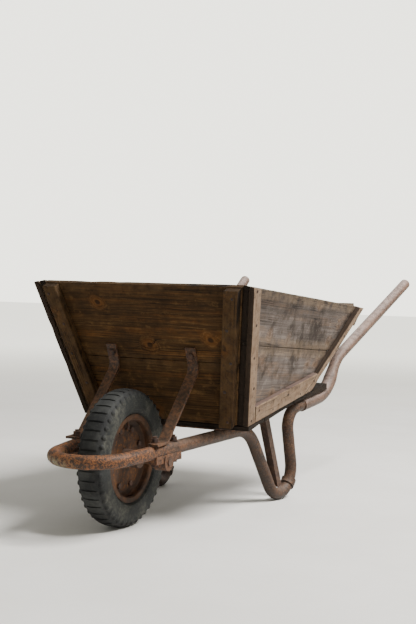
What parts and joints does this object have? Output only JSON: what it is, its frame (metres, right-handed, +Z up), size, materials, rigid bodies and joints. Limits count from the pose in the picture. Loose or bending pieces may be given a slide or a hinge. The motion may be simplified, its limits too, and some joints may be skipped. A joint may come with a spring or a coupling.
{
  "type": "wheelbarrow",
  "caption": "Old wheelbarrow: a timber tray with flared sides on a bent, rusted tube frame, with one pneumatic wheel on a pressed steel rim",
  "frame": {"origin": "on the ground, at the centre of the overall box of the whole barrow", "axes": "+Z up from the ground; +Y from the wheel towards the handles; +X across, to the right of someone who stands at the wheel and looks towards the handles"},
  "size_m": [0.6628, 1.7192, 0.6713],
  "materials": {
    "tyre_rubber": "dusty, cracked tread",
    "inner_rubber": "matt",
    "rusted_rim": "rusted, traces of old paint",
    "dark_bolts": "rusted",
    "worn_axle": "rusted",
    "rusted_casting": "rusted",
    "worn_handle": "thin rust over worn steel",
    "front_timber": "dark, weathered",
    "side_timber": "grey, weathered",
    "batten_timber": "pale, weathered",
    "floor_timber": "dark, damp, weathered",
    "rusted_tube": "pitted rust"
  },
  "bodies": {
    "frame": {"bearing_block_right": "rusted_casting", "bearing_block_left": "rusted_casting", "bearing_bolts": "dark_bolts", "bearing_nuts": "dark_bolts", "bearing_washers": "dark_bolts", "front_frame_tube": "rusted_tube", "rear_leg_tube_right": "rusted_tube", "rear_leg_tube_left": "rusted_tube", "handle_tube_right": "worn_handle", "handle_tube_left": "worn_handle", "leg_brace_right": "rusted_tube", "leg_brace_left": "rusted_tube", "stay_right": "rusted_tube", "stay_left": "rusted_tube", "stay_bolts": "dark_bolts", "stay_nuts": "dark_bolts", "front_strap": "rusted_tube", "bearer_right": "floor_timber", "bearer_left": "floor_timber", "floor_board_1": "floor_timber", "floor_board_2": "floor_timber", "floor_board_3": "floor_timber", "floor_board_4": "floor_timber", "floor_bolts": "dark_bolts", "floor_nuts": "dark_bolts", "front_board_upper": "front_timber", "front_board_lower": "front_timber", "front_batten_right": "front_timber", "front_batten_left": "front_timber", "side_board_upper_right": "side_timber", "side_board_upper_left": "side_timber", "side_board_lower_right": "side_timber", "side_board_lower_left": "side_timber", "front_side_batten_right": "batten_timber", "front_side_batten_left": "batten_timber", "bottom_side_batten_right": "batten_timber", "bottom_side_batten_left": "batten_timber", "rear_side_batten_right": "batten_timber", "rear_side_batten_left": "batten_timber", "tail_board_upper": "side_timber", "tail_board_lower": "side_timber", "tail_rail": "side_timber"},
    "wheel": {"tyre": "tyre_rubber", "inner_tube": "inner_rubber", "valve_stem": "dark_bolts", "rim_half_right": "rusted_rim", "rim_half_left": "rusted_rim", "wheel_hub": "worn_axle", "rim_bolts": "dark_bolts", "rim_nuts": "dark_bolts", "axle": "worn_axle", "axle_collars": "worn_axle"}
  },
  "joints": [
    {"name": "wheel_spin", "type": "hinge", "parent": "frame", "child": "wheel", "pos_m": [0, -0.60582, 0.177], "axis": [1, 0, 0], "continuous": true}
  ]
}
